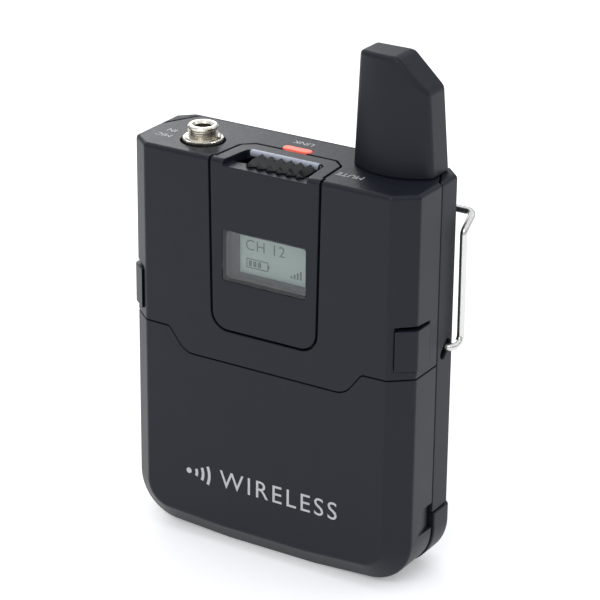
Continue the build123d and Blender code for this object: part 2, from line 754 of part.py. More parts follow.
# ---------------------------------------------------------------- antenna blade
def antenna_section(z, half, front_y, bulge, rear_y):
    """One level of the blade: flat back and sides, front swelling forward by bulge."""
    x = ANTENNA_X
    with BuildSketch(Plane.XY.offset(z), mode=Mode.PRIVATE) as section:
        with BuildLine():
            ThreePointArc((x - half, front_y), (x, front_y - bulge), (x + half, front_y))
            Polyline(
                (x + half, front_y),
                (x + half - 0.3, rear_y - 0.8),
                (x + half - 1.1, rear_y),
                (x - half + 1.1, rear_y),
                (x - half + 0.3, rear_y - 0.8),
                (x - half, front_y),
            )
        make_face()
    return section.sketch


with BuildPart() as antenna_blade:
    add(antenna_section(TOP + 0.05, 8.65, depth(11.9), 3.3, depth(18.7)))
    add(antenna_section(ANTENNA_TOP, 7.3, depth(11.1), 1.0, depth(17.6)))
    loft()
    # slanted upper corner on the outer side
    with BuildSketch(front_plane(depth(30))):
        with BuildLine():
            Polyline(
                (ANTENNA_X + 1.35, ANTENNA_TOP + 0.02),
                (ANTENNA_X + 7.75, ANTENNA_TOP - 6.2),
                (ANTENNA_X + 20, ANTENNA_TOP - 6.2 - 12.25 * 6.22 / 6.4),
                (ANTENNA_X + 20, ANTENNA_TOP + 5),
                (ANTENNA_X + 1.35, ANTENNA_TOP + 5),
                close=True,
            )
        make_face()
    extrude(amount=60, mode=Mode.SUBTRACT)
    # foot through the top plate
    with BuildSketch(Plane.XY.offset(TOP - 6.5)):
        with Locations((ANTENNA_X, depth(13.6))):
            Circle(3.0)
    extrude(amount=8.0)
    # slot for the radiator strip
    with BuildSketch(Plane.XY.offset(TOP - 7)):
        with Locations((ANTENNA_X, depth(13.6))):
            Rectangle(3.2, 0.7)
    extrude(amount=22.0, mode=Mode.SUBTRACT)
save(antenna_blade.part, "antenna_blade")

with BuildPart() as antenna_radiator:
    with BuildSketch(Plane.XY.offset(TOP - 8.2)):
        with Locations((ANTENNA_X, depth(13.6))):
            Rectangle(3.0, 0.5)
    extrude(amount=22.5)
save(antenna_radiator.part, "antenna_radiator")

# ---------------------------------------------------------------- latch buttons and their springs
latch_form = soft_block(-LATCH_PROUD)
latch_back = case_block(WALL - 0.3, TOP)
for name, side in SIDES.items():
    with BuildPart() as latch_button:
        # the part you press: the case's own bevel and side, a little proud
        with BuildSketch(Plane.XY.offset(LATCH_LOW)):
            with Locations((side * (LATCH_INNER + 10), depth(LATCH_REAR - 10))):
                Rectangle(20, 20)
        extrude(amount=LATCH_HIGH - LATCH_LOW)
        add(latch_form, mode=Mode.INTERSECT)
        add(latch_back, mode=Mode.SUBTRACT)
        # flange inside the wall
        with BuildSketch(Plane.XY.offset(LATCH_LOW - 0.9)):
            with Locations((side * 29.65, depth(7.6))):
                Rectangle(1.1, 3.6)
        extrude(amount=LATCH_HIGH - LATCH_LOW + 1.8)
        with BuildSketch(Plane.XY.offset(LATCH_LOW + 0.4)):
            with Locations((side * 30.4, depth(6.7))):
                Rectangle(1.2, 2.0)
        extrude(amount=LATCH_HIGH - LATCH_LOW - 0.8)
        # hook arm that reaches down beside the battery
        with BuildSketch(Plane.XY.offset(LATCH_LOW - 5.2)):
            with Locations((side * 29.5, depth(8.0))):
                Rectangle(0.8, 2.6)
        extrude(amount=5.0)
        # pin that centres the spring
        with BuildSketch(Plane.YZ.offset(side * 29.15)):
            with Locations((depth(7.8), LATCH_SPRING_Z)):
                Circle(0.55)
        extrude(amount=-side * 0.9)
    save(latch_button.part, f"latch_button_{name}")

    with BuildPart() as latch_spring:
        with BuildLine() as coil:
            Helix(
                pitch=0.55,
                height=2.2,
                radius=0.95,
                center=(side * 26.7, depth(7.8), LATCH_SPRING_Z),
                direction=(side, 0, 0),
            )
        with BuildSketch(Plane(origin=coil.line @ 0, z_dir=coil.line % 0)):
            Circle(0.14)
        sweep(path=coil.line, is_frenet=True)
    save(latch_spring.part, f"latch_spring_{name}")

# ---------------------------------------------------------------- belt clip
CLIP_BEND_Z = TOP - 8.9       # height of the runs that cross the back
CLIP_RUN_Y = depth(22.45)     # centre line of those runs, and the axis the tongue twists about
ARM_X = 33.35
TONGUE_X = 9.0
ARM_END = 13.0                # the arm's cross run ends here and the tongue's begins


def wire(points, radii):
    """Round wire along straight runs joined by arcs, one radius for each inner point."""
    with BuildPart(mode=Mode.PRIVATE) as swept:
        with BuildLine() as path:
            FilletPolyline(*points, radius=radii)
        with BuildSketch(Plane(origin=path.line @ 0, z_dir=path.line % 0)):
            Circle(WIRE / 2)
        sweep(path=path.line, transition=Transition.RIGHT)
    return swept.part


for name, side in SIDES.items():
    with BuildPart() as belt_clip_arm:
        add(
            wire(
                [
                    (side * 28.6, CLIP_SLOT[0] + 0.3, CLIP_SLOT[1] + 0.3),
                    (side * ARM_X, CLIP_SLOT[0] + 0.3, CLIP_SLOT[1] + 0.3),
                    (side * ARM_X, depth(18.55), TOP - 34.2),
                    (side * ARM_X, depth(18.35), TOP - 11.6),
                    (side * (ARM_X - 0.2), CLIP_RUN_Y, CLIP_BEND_Z),
                    (side * ARM_END, CLIP_RUN_Y, CLIP_BEND_Z),
                ],
                [1.2, 1.6, 1.4, 1.3],
            )
        )
    save(belt_clip_arm.part, f"belt_clip_arm_{name}")

tongue_profile = [
    (CLIP_RUN_Y, CLIP_BEND_Z),
    (depth(CLIP_STANDOFF), TOP - 19.0),
    (depth(CLIP_STANDOFF), TOP - 25.0),
    (depth(21.6), TOP - 50.0),
    (depth(22.9), TOP - 60.0),
]
half_tongue = [(ARM_END - 0.04, *tongue_profile[0])]
half_tongue += [(TONGUE_X, y, z) for y, z in tongue_profile]
tongue_points = half_tongue + [(-x, y, z) for x, y, z in reversed(half_tongue)]
with BuildPart() as belt_clip_tongue:
    add(wire(tongue_points, [1.8, 6.0, 12.0, 10.0, 5.0, 5.0, 10.0, 12.0, 6.0, 1.8]))
save(belt_clip_tongue.part, "belt_clip_tongue")

# ---------------------------------------------------------------- battery pack
with BuildPart() as battery_front:
    add(CASE_OUTER)
    add(below_split(GAP), mode=Mode.INTERSECT)
    with BuildSketch(Plane.XY.offset(-20)):
        with Locations((0, SEAM + 50)):
            Rectangle(200, 100)
    extrude(amount=200, mode=Mode.SUBTRACT)
    add(CASE_INNER, mode=Mode.SUBTRACT)
    # nail notch on each side, deepest at the rear edge
    for side in SIDES.values():
        with BuildSketch(Plane.XY.offset(STEP + 2.5)):
            with BuildLine():
                Polyline(
                    (side * (HALF + 1), depth(5.6)),
                    (side * (HALF + 1), SEAM + 1),
                    (side * (HALF - 1.1), SEAM + 1),
                    (side * HALF, depth(6.0)),
                    close=True,
                )
            make_face()
        extrude(amount=-5.3, mode=Mode.SUBTRACT)
save(battery_front.part, "battery_front")

SHOE_FRONT = SEAM + 0.6
with BuildPart() as battery_shoe:
    add(case_block(-0.3, TOP))
    with BuildSketch(Plane.XY.offset(-20)):
        with Locations((0, SHOE_FRONT - 50)):
            Rectangle(200, 100)
    extrude(amount=200, mode=Mode.SUBTRACT)
    add(CASE_INNER, mode=Mode.SUBTRACT)
    with Locations((0, 0, STEP)):
        Box(200, 200, 200, align=(Align.CENTER, Align.CENTER, Align.MIN), mode=Mode.SUBTRACT)
    with Locations((0, 0, 0.05)):
        Box(200, 200, 50, align=(Align.CENTER, Align.CENTER, Align.MAX), mode=Mode.SUBTRACT)
save(battery_shoe.part, "battery_shoe")

CELL_CASE_FRONT = depth(5.4)
CELL_CASE_REAR = BACK - WALL - 0.35
CELL_CASE_LOW = 4.8
CELL_CASE_MIDDLE = (CELL_CASE_FRONT + CELL_CASE_REAR) / 2


def slab(half, low, high, cut, front_y, rear_y):
    """Upright slab with its two lower corners cut off, which follows the case's rounded outline."""
    with BuildPart(mode=Mode.PRIVATE) as block:
        with BuildSketch(front_plane(rear_y)):
            with BuildLine():
                Polyline(
                    (-half, high),
                    (-half, low + cut),
                    (-half + cut, low),
                    (half - cut, low),
                    (half, low + cut),
                    (half, high),
                    close=True,
                )
            make_face()
        extrude(amount=rear_y - front_y)
    return block.part


with BuildPart() as cell_case:
    add(slab(27.4, CELL_CASE_LOW, CELL_CASE_TOP, 6.5, CELL_CASE_FRONT, CELL_CASE_REAR))
    # pad that is glued to the inside of the front shell
    with BuildSketch(front_plane(CELL_CASE_FRONT + 0.5)):
        with Locations((0, 22)):
            RectangleRounded(42, 26, 2)
    extrude(amount=CELL_CASE_FRONT + 0.5 - depth(WALL) - 0.02)
    # feet that carry the shoe and the front shell
    with BuildSketch(Plane.XY.offset(WALL + 0.02)):
        with Locations((0, CELL_CASE_MIDDLE)):
            Rectangle(19.0, 7.8)
    extrude(amount=CELL_CASE_LOW - WALL + 0.2)
    # cell room, open at the top
    add(slab(26.0, 6.0, 100, 6.0, CELL_CASE_FRONT + 1.2, CELL_CASE_REAR - 1.2), mode=Mode.SUBTRACT)
save(cell_case.part, "cell_case")

with BuildPart() as battery_cell:
    add(slab(25.7, 6.3, 32.8, 6.0, CELL_CASE_FRONT + 1.5, CELL_CASE_REAR - 1.5))
    fillet(battery_cell.edges().filter_by(Axis.X), 1.0)
save(battery_cell.part, "battery_cell")

with BuildPart() as battery_board:
    with BuildSketch(Plane.XY.offset(33.4)):
        with Locations((0, CELL_CASE_MIDDLE)):
            Rectangle(48.0, 7.6)
    extrude(amount=0.8)
    with BuildSketch(Plane.XY.offset(34.2)):
        with Locations((-12, CELL_CASE_MIDDLE)):
            Rectangle(4.4, 4.0)
        with Locations((10, CELL_CASE_MIDDLE)):
            Rectangle(3.2, 2.6)
    extrude(amount=1.2)
save(battery_board.part, "battery_board")

with BuildPart() as cell_case_lid:
    with BuildSketch(Plane.XY.offset(CELL_CASE_TOP - 1.3)):
        with Locations((0, CELL_CASE_MIDDLE)):
            Rectangle(51.9, CELL_CASE_REAR - CELL_CASE_FRONT - 2.5)
        with Locations((0, CONTACTS_Y)):
            with GridLocations(3.6, 1, 4, 1):
                Rectangle(1.5, 3.4, mode=Mode.SUBTRACT)
    extrude(amount=1.3)
save(cell_case_lid.part, "cell_case_lid")

with BuildPart() as battery_pads:
    with BuildSketch(Plane.XY.offset(34.22)):
        with Locations((0, CONTACTS_Y)):
            with GridLocations(3.6, 1, 4, 1):
                Rectangle(1.3, 3.2)
    extrude(amount=PAD_TOP - 34.22)
save(battery_pads.part, "battery_pads")
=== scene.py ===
# %% [markdown]
# # A wireless bodypack transmitter
# This lesson dresses a small radio transmitter that somebody wears on a belt. The exact shapes come
# from a CAD model, which is loaded first and never changed. Each visible surface then gets either a
# better material, or a detailed piece that stands in for the CAD node and moves with the same body.

# %% Load the CAD model and keep its box
import math

import bmesh
import bpy
from mathutils import Matrix, Vector


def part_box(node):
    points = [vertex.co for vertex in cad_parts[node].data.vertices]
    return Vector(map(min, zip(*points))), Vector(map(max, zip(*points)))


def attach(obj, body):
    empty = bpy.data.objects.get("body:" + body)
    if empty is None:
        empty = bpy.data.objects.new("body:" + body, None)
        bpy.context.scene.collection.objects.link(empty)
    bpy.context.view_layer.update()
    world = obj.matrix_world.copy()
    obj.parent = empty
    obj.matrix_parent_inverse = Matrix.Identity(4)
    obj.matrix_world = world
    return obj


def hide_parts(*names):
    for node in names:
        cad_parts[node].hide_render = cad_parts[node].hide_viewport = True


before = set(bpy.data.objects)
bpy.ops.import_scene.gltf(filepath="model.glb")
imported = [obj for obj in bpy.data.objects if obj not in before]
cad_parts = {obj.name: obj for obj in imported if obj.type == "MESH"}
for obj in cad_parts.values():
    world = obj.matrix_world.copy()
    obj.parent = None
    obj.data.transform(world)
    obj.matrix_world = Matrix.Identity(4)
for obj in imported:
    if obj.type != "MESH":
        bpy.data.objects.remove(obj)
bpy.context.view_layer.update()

# %% [markdown]
# ## Where things are
# All measures here are millimetres on the drawing and metres in Blender, so one constant turns one
# into the other. The front face, the top face and the jack's axis are read from the CAD nodes, which
# keeps this script right if the model is packed again with a small change.

# %% Reference planes and axes
MM = 0.001
shell_low, shell_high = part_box("front_shell")
FRONT = shell_low.y
TOP = shell_high.z
SIDE = shell_high.x
barrel_low, barrel_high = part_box("jack_barrel")
JACK_X = (barrel_low.x + barrel_high.x) / 2
JACK_Y = (barrel_low.y + barrel_high.y) / 2
JACK_TOP = barrel_high.z
nut_low, nut_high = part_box("jack_nut")
display_low, display_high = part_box("display_glass")
print("front face at", round(FRONT / MM, 3), "top at", round(TOP / MM, 3), "mm")


def behind(distance):
    """Y of a point this many millimetres behind the front face."""
    return FRONT + distance * MM


# %% [markdown]
# ## The camera
# The picture looks down on the pack from the right, through a long lens, so that upright edges stay
# almost parallel. A 156 mm lens half a metre away does that. The small shift puts the optical axis
# a few hundredths off the middle of the picture.

# %% Make the camera
AZIMUTH, ELEVATION, ROLL = math.radians(31.6), math.radians(22.63), math.radians(0.56)
backwards = Vector((
    math.sin(AZIMUTH) * math.cos(ELEVATION),
    -math.cos(AZIMUTH) * math.cos(ELEVATION),
    math.sin(ELEVATION),
))
level = Vector((math.cos(AZIMUTH), math.sin(AZIMUTH), 0))
upwards = backwards.cross(level)
right_hand = level * math.cos(ROLL) + upwards * math.sin(ROLL)
overhead = upwards * math.cos(ROLL) - level * math.sin(ROLL)
lens = bpy.data.cameras.new("camera")
lens.sensor_width = 36
lens.lens = 155.7
lens.shift_x = 0.0048
lens.shift_y = -0.0059
lens.clip_start = 0.01
camera = bpy.data.objects.new("camera", lens)
bpy.context.scene.collection.objects.link(camera)
turn = Matrix((right_hand, overhead, backwards)).transposed().to_4x4()
camera.matrix_world = Matrix.Translation((0.24721, -0.40247, 0.24919)) @ turn
bpy.context.scene.camera = camera
print("camera", round((camera.location - Vector((0, 0, TOP / 2))).length, 3), "m from the middle")

# %% [markdown]
# ## Floor and light
# A pale floor and a pale sky light the pack from everywhere, as a white tent does in a product
# studio. Dark plastic shows mostly what it mirrors, so four large soft lamps draw the highlights: a
# bright one behind on the left for the top face, weak ones on the left and right, and one in front.

# %% Floor, sky and soft lamps
bpy.context.scene.view_settings.view_transform = "Standard"
sky = bpy.data.worlds.new("pale_sky")
bpy.context.scene.world = sky
sky.use_nodes = True
sky_nodes, sky_links = sky.node_tree.nodes, sky.node_tree.links
sky_light = sky_nodes["Background"]
sky_light.inputs["Color"].default_value = (0.93, 0.96, 1.0, 1)
SKY_LOW, SKY_HIGH = 0.55, 1.15
RISE_FROM, RISE_TO = 0.35, 0.75
sky_height = sky_nodes.new("ShaderNodeSeparateXYZ")
sky_links.new(sky_nodes.new("ShaderNodeTexCoord").outputs["Generated"], sky_height.inputs[0])
sky_rise = sky_nodes.new("ShaderNodeMapRange")
sky_rise.inputs["From Min"].default_value = RISE_FROM
sky_rise.inputs["From Max"].default_value = RISE_TO
sky_rise.inputs["To Min"].default_value = SKY_LOW
sky_rise.inputs["To Max"].default_value = SKY_HIGH
sky_links.new(sky_height.outputs["Z"], sky_rise.inputs["Value"])
sky_links.new(sky_rise.outputs[0], sky_light.inputs["Strength"])
seen_sky = sky_nodes.new("ShaderNodeBackground")
seen_sky.inputs["Color"].default_value = (1, 1, 1, 1)
seen_sky.inputs["Strength"].default_value = 1.0
ray = sky_nodes.new("ShaderNodeLightPath")
either = sky_nodes.new("ShaderNodeMixShader")
sky_links.new(ray.outputs["Is Camera Ray"], either.inputs["Fac"])
sky_links.new(sky_light.outputs[0], either.inputs[1])
sky_links.new(seen_sky.outputs[0], either.inputs[2])
sky_links.new(either.outputs[0], sky_nodes["World Output"].inputs["Surface"])

floor_mesh = bpy.data.meshes.new("floor")
floor_bm = bmesh.new()
bmesh.ops.create_grid(floor_bm, x_segments=1, y_segments=1, size=3.0)
bmesh.ops.translate(floor_bm, verts=floor_bm.verts, vec=(0, 0, -0.00002))
floor_bm.to_mesh(floor_mesh)
floor_bm.free()
floor = bpy.data.objects.new("floor", floor_mesh)
bpy.context.scene.collection.objects.link(floor)
floor_paint = bpy.data.materials.new("floor_paint")
floor_paint.use_nodes = True
floor_shader = floor_paint.node_tree.nodes["Principled BSDF"]
floor_shader.inputs["Base Color"].default_value = (0.9, 0.9, 0.9, 1)
floor_shader.inputs["Roughness"].default_value = 0.9
floor_shader.inputs["Specular IOR Level"].default_value = 0.0
floor_shader.inputs["Emission Color"].default_value = (1, 1, 1, 1)
floor_shader.inputs["Emission Strength"].default_value = 0.27
floor_mesh.materials.append(floor_paint)


def soft_lamp(name, place, size, power):
    """A square lamp that looks at the middle of the pack."""
    light = bpy.data.lights.new(name, "AREA")
    light.size = size
    light.energy = power
    lamp = bpy.data.objects.new(name, light)
    lamp.location = place
    aim = Vector((0, 0, 0.05)) - Vector(place)
    lamp.rotation_euler = aim.to_track_quat("-Z", "Y").to_euler()
    bpy.context.scene.collection.objects.link(lamp)
    return lamp


soft_lamp("lamp_behind", (-0.62, 0.66, 0.46), 0.35, 1.6)
soft_lamp("lamp_right", (0.55, 0.4, 0.5), 0.4, 0.3)
soft_lamp("lamp_left", (-0.6, 0.1, 0.45), 0.4, 0.3)
soft_lamp("lamp_front", (0.1, -0.6, 0.6), 0.4, 1.5)

# %% [markdown]
# ## Shader groups
# Three effects return in many finishes, so each is a node group with named sockets. The first is the
# fine texture that a mould leaves on plastic. It puts out a height for a Bump node, and a speckle that
# is stronger on faces that look up, which paints light onto the top face. The second mixes a little
# lighter dust and polish, and that painted light, into a colour, and the third gives the lines of
# drawn or turned metal. All of them read Object coordinates, so the pattern stays on the piece when it
# moves.

# %% Helpers for node groups


def start_group(name, inputs, outputs):
    """A new shader group with float or colour sockets."""
    group = bpy.data.node_groups.new(name, "ShaderNodeTree")
    for socket, kind, value in inputs:
        made = group.interface.new_socket(socket, in_out="INPUT", socket_type=kind)
        made.default_value = value
    for socket, kind in outputs:
        group.interface.new_socket(socket, in_out="OUTPUT", socket_type=kind)
    return group, group.nodes.new("NodeGroupInput"), group.nodes.new("NodeGroupOutput")


def noise_at(tree, scale, detail, roughness, vector=None):
    """A noise texture on Object coordinates, with its scale as a number or a link."""
    texture = tree.nodes.new("ShaderNodeTexNoise")
    texture.inputs["Detail"].default_value = detail
    texture.inputs["Roughness"].default_value = roughness
    if isinstance(scale, (int, float)):
        texture.inputs["Scale"].default_value = scale
    else:
        tree.links.new(scale, texture.inputs["Scale"])
    if vector is None:
        vector = tree.nodes.new("ShaderNodeTexCoord").outputs["Object"]
    tree.links.new(vector, texture.inputs["Vector"])
    return texture.outputs["Fac"]


def maths(tree, operation, first, second):
    """One Math node on two links or numbers."""
    node = tree.nodes.new("ShaderNodeMath")
    node.operation = operation
    for socket, value in zip(node.inputs, (first, second)):
        if isinstance(value, (int, float)):
            socket.default_value = value
        else:
            tree.links.new(value, socket)
    return node.outputs[0]


FLOAT, COLOUR = "NodeSocketFloat", "NodeSocketColor"

# %% [markdown]
# A mould for satin plastic is etched, and the etching prints a fine grain. Two scales of noise make
# it. Faces that look up get a coarser grain, and a stronger pale speckle in their colour, which is
# painted light that makes the top face lighter.

# %% The mould's grain
grain, grain_in, grain_out = start_group(
    "mould_grain",
    [("Grain Scale", FLOAT, 3500.0), ("Top Grain And Light", FLOAT, 1.0)],
    [("Height", FLOAT), ("Speckle And Top Light", FLOAT)],
)
fine = noise_at(grain, grain_in.outputs["Grain Scale"], 3.0, 0.6)
coarse = noise_at(grain, maths(grain, "MULTIPLY", grain_in.outputs["Grain Scale"], 0.42), 2.0, 0.5)
geometry = grain.nodes.new("ShaderNodeNewGeometry")
facing = grain.nodes.new("ShaderNodeSeparateXYZ")
grain.links.new(geometry.outputs["Normal"], facing.inputs[0])
upward = grain.nodes.new("ShaderNodeMapRange")
upward.inputs["From Min"].default_value = 0.75
upward.inputs["From Max"].default_value = 0.97
grain.links.new(facing.outputs["Z"], upward.inputs["Value"])
# painted light: this mask of faces that look up raises both the grain's bump and the pale speckle in the
# colour
upward_grain_and_light = maths(grain, "MULTIPLY", upward.outputs[0], grain_in.outputs["Top Grain And Light"])
more = maths(grain, "MULTIPLY", maths(grain, "SUBTRACT", coarse, 0.5), upward_grain_and_light)
grain.links.new(maths(grain, "ADD", fine, more), grain_out.inputs["Height"])
# painted light: the pale speckle is strongest on faces that look up, so the top face comes out lighter
speckle_and_top_light = maths(grain, "MULTIPLY", maths(grain, "SUBTRACT", fine, 0.5), maths(grain, "ADD", upward_grain_and_light, 0.4))
grain.links.new(speckle_and_top_light, grain_out.inputs["Speckle And Top Light"])
print("group", grain.name, "with", len(grain.nodes), "nodes")

# %% [markdown]
# Hands polish some places and leave dust in others. Two sizes of noise are mixed into soft patches,
# which shift the colour a little and make the dusty places rougher. The grain's speckle is added to
# the patches, and on faces that look up it is painted light.

# %% Handling marks: patches of dust and polish, with the painted light on top faces
marks, marks_in, marks_out = start_group(
    "handling_marks",
    [
        ("Color", COLOUR, (0.03, 0.03, 0.03, 1)),
        ("Dust And Top Light", COLOUR, (0.06, 0.06, 0.06, 1)),
        ("Amount", FLOAT, 0.3),
        ("Roughness", FLOAT, 0.5),
        ("Speckle And Top Light", FLOAT, 0.0),
    ],
    [("Color", COLOUR), ("Roughness", FLOAT)],
)
cloud = noise_at(marks, 28.0, 4.0, 0.55)
smear = noise_at(marks, 140.0, 3.0, 0.6)
patch = marks.nodes.new("ShaderNodeMapRange")
patch.inputs["From Min"].default_value = 0.38
patch.inputs["From Max"].default_value = 0.72
blotches = maths(marks, "ADD", maths(marks, "MULTIPLY", cloud, 0.6), maths(marks, "MULTIPLY", smear, 0.4))
marks.links.new(blotches, patch.inputs["Value"])
share = maths(marks, "MULTIPLY", patch.outputs[0], marks_in.outputs["Amount"])
# the speckle adds painted light on faces that look up to the dust patches
share = maths(marks, "ADD", share, marks_in.outputs["Speckle And Top Light"])
tint = marks.nodes.new("ShaderNodeMix")
tint.data_type = "RGBA"
marks.links.new(share, tint.inputs["Factor"])
marks.links.new(marks_in.outputs["Color"], tint.inputs["A"])
marks.links.new(marks_in.outputs["Dust And Top Light"], tint.inputs["B"])
marks.links.new(tint.outputs["Result"], marks_out.inputs["Color"])
rough = maths(marks, "ADD", marks_in.outputs["Roughness"], maths(marks, "MULTIPLY", share, 0.12))
marks.links.new(rough, marks_out.inputs["Roughness"])
print("group", marks.name, "with", len(marks.nodes), "nodes")

# %% [markdown]
# A wire is drawn through a die and a tube is turned, and both leave fine parallel lines. Noise that
# is stretched along one axis gives them.

# %% Lines of drawn or turned metal
drawn, drawn_in, drawn_out = start_group(
    "tool_lines",
    [("Across " + axis, FLOAT, 1.0) for axis in "XYZ"] + [("Roughness", FLOAT, 0.25)],
    [("Height", FLOAT), ("Roughness", FLOAT)],
)
stretch = drawn.nodes.new("ShaderNodeCombineXYZ")
for axis in "XYZ":
    drawn.links.new(drawn_in.outputs["Across " + axis], stretch.inputs[axis])
scaled = drawn.nodes.new("ShaderNodeVectorMath")
scaled.operation = "MULTIPLY"
drawn.links.new(drawn.nodes.new("ShaderNodeTexCoord").outputs["Object"], scaled.inputs[0])
drawn.links.new(stretch.outputs[0], scaled.inputs[1])
lines = noise_at(drawn, 2600.0, 4.0, 0.7, scaled.outputs[0])
drawn.links.new(lines, drawn_out.inputs["Height"])
uneven = maths(drawn, "MULTIPLY", maths(drawn, "SUBTRACT", lines, 0.5), 0.25)
drawn.links.new(maths(drawn, "ADD", drawn_in.outputs["Roughness"], uneven), drawn_out.inputs["Roughness"])
print("group", drawn.name, "with", len(drawn.nodes), "nodes")

# %% [markdown]
# ## Plastics
# The case, the battery pack and the antenna are the same family of satin black-blue plastic. They
# differ in grain and gloss, so one helper makes them all: a Principled shader, whose colour and
# roughness come from the handling marks, and whose bump comes from the mould's grain.

# %% A helper for moulded plastic and the finishes made with it


def moulded(name, colour, roughness, grain_scale, depth_mm, top_grain_and_light=1.0, amount=0.25,
            specular=0.4, dust_and_top_light=None):
    """Moulded plastic with grain, patches and a little pale speckle on upward faces, which is painted light.
    """
    material = bpy.data.materials.new(name)
    material.use_nodes = True
    tree = material.node_tree
    shader = tree.nodes["Principled BSDF"]
    shader.inputs["Specular IOR Level"].default_value = specular
    texture = tree.nodes.new("ShaderNodeGroup")
    texture.node_tree = grain
    texture.inputs["Grain Scale"].default_value = grain_scale
    texture.inputs["Top Grain And Light"].default_value = top_grain_and_light
    surface = tree.nodes.new("ShaderNodeGroup")
    surface.node_tree = marks
    surface.inputs["Color"].default_value = (*colour, 1)
    # the lighter tint serves the real dust patches and the painted light on upward faces
    surface.inputs["Dust And Top Light"].default_value = (*(dust_and_top_light or [min(1, c * 1.7 + 0.004) for c in colour]), 1)
    surface.inputs["Amount"].default_value = amount
    surface.inputs["Roughness"].default_value = roughness
    tree.links.new(texture.outputs["Speckle And Top Light"], surface.inputs["Speckle And Top Light"])
    tree.links.new(surface.outputs["Color"], shader.inputs["Base Color"])
    tree.links.new(surface.outputs["Roughness"], shader.inputs["Roughness"])
    bump = tree.nodes.new("ShaderNodeBump")
    bump.inputs["Strength"].default_value = 1.0
    bump.inputs["Distance"].default_value = depth_mm * MM
    tree.links.new(texture.outputs["Height"], bump.inputs["Height"])
    tree.links.new(bump.outputs["Normal"], shader.inputs["Normal"])
    return material


# the top grain number also sets how much painted light the top faces get, besides their coarser grain
case_satin = moulded("case_satin", (0.0075, 0.0095, 0.0145), 0.40, 3600, 0.012,
                     top_grain_and_light=2.4, specular=0.23)
panel_satin = moulded("panel_satin", (0.0072, 0.0092, 0.0142), 0.38, 3600, 0.008,
                      top_grain_and_light=0.6, specular=0.22)
rear_satin = moulded("rear_satin", (0.0075, 0.0095, 0.0140), 0.46, 2600, 0.03,
                     top_grain_and_light=1.2, specular=0.22)
blade_satin = moulded("blade_satin", (0.0080, 0.0098, 0.0148), 0.42, 3200, 0.012,
                      top_grain_and_light=1.5, specular=0.23)
slider_black = moulded("slider_black", (0.008, 0.008, 0.009), 0.24, 5200, 0.002, amount=0.1, specular=0.5)
# painted highlight: this pale grey stands in for the bright reflection along the rounded strip behind the
# slider
painted_highlight_grey = moulded("painted_highlight_grey", (0.30, 0.32, 0.38), 0.22, 3600, 0.002, amount=0.3, specular=0.5)
inner_black = moulded("inner_black", (0.02, 0.02, 0.021), 0.55, 2500, 0.01)
bezel_grey = moulded("bezel_grey", (0.036, 0.044, 0.054), 0.5, 6000, 0.001, amount=0.2)
guide_white = moulded("guide_white", (0.75, 0.77, 0.76), 0.35, 3000, 0.002, amount=0.1)
print("plastics:", [m.name for m in bpy.data.materials])

# %% [markdown]
# ## Metals
# The jack and its nut are nickel plated, the belt clip is bright drawn spring wire, and the parts
# inside are tin, brass and gold. Metal has no colour of its own under the highlight, so what tells
# them apart is the tint, the roughness and the direction of the tool lines.

# %% A helper for metal and the finishes made with it


def metal(name, colour, roughness, across=(1, 1, 1), depth_mm=0.002):
    """Bright metal with fine lines. A low number in across makes the lines long on that axis."""
    material = bpy.data.materials.new(name)
    material.use_nodes = True
    tree = material.node_tree
    shader = tree.nodes["Principled BSDF"]
    shader.inputs["Metallic"].default_value = 1.0
    surface = tree.nodes.new("ShaderNodeGroup")
    surface.node_tree = marks
    surface.inputs["Color"].default_value = (*colour, 1)
    surface.inputs["Dust And Top Light"].default_value = (*[c * 0.72 for c in colour], 1)
    surface.inputs["Amount"].default_value = 0.45
    tree.links.new(surface.outputs["Color"], shader.inputs["Base Color"])
    tool = tree.nodes.new("ShaderNodeGroup")
    tool.node_tree = drawn
    for axis, value in zip("XYZ", across):
        tool.inputs["Across " + axis].default_value = value
    tool.inputs["Roughness"].default_value = roughness
    tree.links.new(tool.outputs["Roughness"], shader.inputs["Roughness"])
    bump = tree.nodes.new("ShaderNodeBump")
    bump.inputs["Distance"].default_value = depth_mm * MM
    tree.links.new(tool.outputs["Height"], bump.inputs["Height"])
    tree.links.new(bump.outputs["Normal"], shader.inputs["Normal"])
    return material


nickel = metal("nickel", (0.74, 0.70, 0.62), 0.2, across=(0.2, 0.2, 2.0))
clip_wire = metal("clip_wire", (0.70, 0.69, 0.66), 0.24, across=(1.5, 1.5, 0.08))
spring_steel = metal("spring_steel", (0.6, 0.6, 0.6), 0.3)
tin_plate = metal("tin_plate", (0.65, 0.65, 0.63), 0.38, across=(0.1, 1, 1.6))
gold_plate = metal("gold_plate", (0.83, 0.62, 0.28), 0.25)
brass_strip = metal("brass_strip", (0.76, 0.56, 0.24), 0.3, across=(1.5, 1, 0.1))
cell_foil = metal("cell_foil", (0.62, 0.63, 0.64), 0.42, across=(0.5, 1, 1))
screw_zinc = metal("screw_zinc", (0.06, 0.06, 0.065), 0.42)
metals = (nickel, clip_wire, spring_steel, tin_plate, gold_plate, brass_strip, cell_foil, screw_zinc)
print("metals:", [m.name for m in metals])

# %% [markdown]
# ## Light-coloured and clear finishes
# The status light is a translucent red light pipe that glows faintly. The display has a clear
# acrylic window, a grey frame, and a pale grey-green liquid crystal cell behind it. Prints are
# pale grey ink. The window's plain Transmission keeps it real glass for any renderer.

